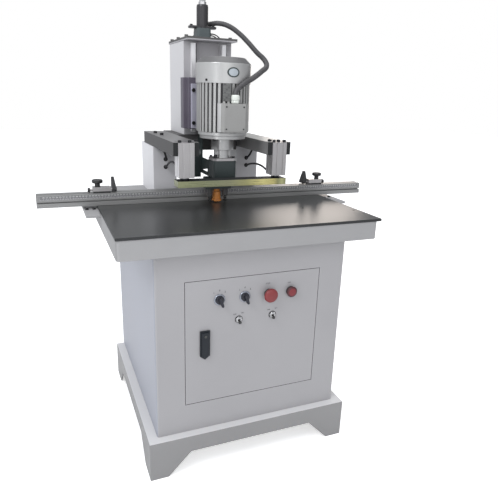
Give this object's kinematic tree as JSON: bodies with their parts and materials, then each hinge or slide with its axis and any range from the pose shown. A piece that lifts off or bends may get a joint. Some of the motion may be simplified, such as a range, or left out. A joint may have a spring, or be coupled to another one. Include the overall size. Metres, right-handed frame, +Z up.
{
  "type": "lock hole drilling machine",
  "caption": "Floor-standing pneumatic boring machine for lock and hinge holes: cabinet with control door, table with stop fence, press bar, and a motor head with spindles on a column.",
  "frame": {"origin": "centre of the bounding box at floor level", "axes": "+Z up, -Y towards the operator's side with the door, +X to the operator's right along the fence"},
  "size_m": [1.204, 0.7562, 1.505],
  "materials": {
    "paint": "satin powder coat",
    "table": "satin laminate",
    "aluminium": "satin anodised",
    "motor": "silver paint",
    "dark_steel": "dark oxide",
    "black": "matte",
    "steel": "ground",
    "zinc": "yellow zinc",
    "gearbox": "satin",
    "red": "gloss",
    "orange": "satin",
    "rubber": "matte",
    "white": "matte"
  },
  "bodies": {
    "frame": {"base_plinth": "paint", "cabinet_shell": "paint", "equipment_panel": "steel", "table_frame": "paint", "table_top": "table", "fence_rail": "aluminium", "pedestal_left": "paint", "pedestal_right": "paint", "arm_left": "dark_steel", "arm_right": "dark_steel", "bridge_plate": "dark_steel", "press_cylinder_left": "aluminium", "press_cylinder_right": "aluminium", "column_body": "paint", "guide_rail_left": "steel", "guide_rail_right": "steel", "column_top_plate": "dark_steel", "feed_cylinder_block": "dark_steel", "feed_cylinder_sleeve": "black", "motor_hose": "rubber", "air_tube_left": "black", "air_tube_right": "black"},
    "head": {"carriage": "dark_steel", "motor_feet": "motor", "motor_housing": "motor", "fan_cowl": "motor", "terminal_box": "motor", "cable_gland": "white", "motor_flange": "motor", "gearbox_body": "gearbox", "gearbox_cover": "aluminium", "gearbox_bracket": "gearbox", "spindle_housing": "gearbox", "feed_rod": "steel"},
    "rotor": {"motor_rotor": "steel"},
    "spindle_centre": {"spindle_centre": "steel", "hinge_bit": "orange"},
    "spindle_left": {"spindle_left": "dark_steel", "dowel_bit_left": "dark_steel"},
    "spindle_right": {"spindle_right": "dark_steel", "dowel_bit_right": "dark_steel"},
    "press": {"press_bar": "zinc", "press_rod_left": "steel", "press_rod_right": "steel"},
    "door": {"door_panel": "paint", "switch_block": "black", "lock_housing": "black"},
    "selector_left": {"selector_knob_left": "black"},
    "selector_right": {"selector_knob_right": "black"},
    "estop": {"estop_button": "red"},
    "stop_key": {"stop_button": "red"},
    "toggle_left": {"toggle_lever_left": "steel"},
    "toggle_right": {"toggle_lever_right": "steel"},
    "lock": {"lock_lever": "black"},
    "fence_stop_left": {"stop_block_left": "aluminium"},
    "fence_stop_right": {"stop_block_right": "aluminium"},
    "finger_left": {"flip_finger_left": "black"},
    "finger_right": {"flip_finger_right": "black"},
    "knob_left": {"stop_knob_left": "black"},
    "knob_right": {"stop_knob_right": "black"}
  },
  "joints": [
    {"name": "head_feed", "type": "slide", "parent": "frame", "child": "head", "axis": [0, 0, 1], "range_m": [0, 0.06], "deforming": ["motor_hose"]},
    {"name": "rotor_spin", "type": "hinge", "parent": "head", "child": "rotor", "pos_m": [0, -0.01575, 1.045], "axis": [0, 0, 1], "continuous": true},
    {"name": "spindle_centre_spin", "type": "hinge", "parent": "head", "child": "spindle_centre", "pos_m": [-0.0135, -0.00135, 0.85], "axis": [0, 0, 1], "continuous": true},
    {"name": "spindle_left_spin", "type": "hinge", "parent": "head", "child": "spindle_left", "pos_m": [-0.0415, -0.01085, 0.85], "axis": [0, 0, 1], "continuous": true},
    {"name": "spindle_right_spin", "type": "hinge", "parent": "head", "child": "spindle_right", "pos_m": [0.0145, -0.01085, 0.85], "axis": [0, 0, 1], "continuous": true},
    {"name": "press_stroke", "type": "slide", "parent": "frame", "child": "press", "axis": [0, 0, 1], "range_m": [-0.06, 0]},
    {"name": "door_swing", "type": "hinge", "parent": "frame", "child": "door", "pos_m": [0.2195, -0.33885, 0.2326], "axis": [0, 0, 1], "range_deg": [0, 110]},
    {"name": "selector_left_turn", "type": "hinge", "parent": "door", "child": "selector_left", "pos_m": [-0.116, -0.34615, 0.575], "axis": [0, 1, 0], "range_deg": [-45, 45]},
    {"name": "selector_right_turn", "type": "hinge", "parent": "door", "child": "selector_right", "pos_m": [-0.034, -0.34615, 0.575], "axis": [0, 1, 0], "range_deg": [-45, 45]},
    {"name": "estop_press", "type": "slide", "parent": "door", "child": "estop", "axis": [0, 1, 0], "range_m": [0, 0.005], "stiffness_N_per_m": 1500, "springref_m": -0.001},
    {"name": "stop_press", "type": "slide", "parent": "door", "child": "stop_key", "axis": [0, 1, 0], "range_m": [0, 0.0035], "stiffness_N_per_m": 1200, "springref_m": -0.001},
    {"name": "toggle_left_flip", "type": "hinge", "parent": "door", "child": "toggle_left", "pos_m": [-0.052, -0.34335, 0.501], "axis": [1, 0, 0], "range_deg": [-56, 0]},
    {"name": "toggle_right_flip", "type": "hinge", "parent": "door", "child": "toggle_right", "pos_m": [0.062, -0.34335, 0.501], "axis": [1, 0, 0], "range_deg": [-56, 0]},
    {"name": "lock_turn", "type": "hinge", "parent": "door", "child": "lock", "pos_m": [-0.1617, -0.34915, 0.4635], "axis": [0, 1, 0], "range_deg": [0, 90]},
    {"name": "fence_stop_left_slide", "type": "slide", "parent": "frame", "child": "fence_stop_left", "axis": [1, 0, 0], "range_m": [-0.14, 0.24]},
    {"name": "fence_stop_right_slide", "type": "slide", "parent": "frame", "child": "fence_stop_right", "axis": [1, 0, 0], "range_m": [-0.24, 0.14]},
    {"name": "finger_left_flip", "type": "hinge", "parent": "fence_stop_left", "child": "finger_left", "pos_m": [-0.3621, 0.04435, 0.8498], "axis": [1, 0, 0], "range_deg": [0, 90]},
    {"name": "finger_right_flip", "type": "hinge", "parent": "fence_stop_right", "child": "finger_right", "pos_m": [0.3621, 0.04435, 0.8498], "axis": [1, 0, 0], "range_deg": [0, 90]},
    {"name": "knob_left_turn", "type": "hinge", "parent": "fence_stop_left", "child": "knob_left", "pos_m": [-0.412, 0.04435, 0.8604], "axis": [0, 0, 1], "range_deg": [-180, 180]},
    {"name": "knob_right_turn", "type": "hinge", "parent": "fence_stop_right", "child": "knob_right", "pos_m": [0.412, 0.04435, 0.8604], "axis": [0, 0, 1], "range_deg": [-180, 180]}
  ],
  "couplings": [
    {"joint": "spindle_centre_spin", "follows": "rotor_spin", "ratio": -1},
    {"joint": "spindle_left_spin", "follows": "rotor_spin", "ratio": 1},
    {"joint": "spindle_right_spin", "follows": "rotor_spin", "ratio": 1}
  ]
}
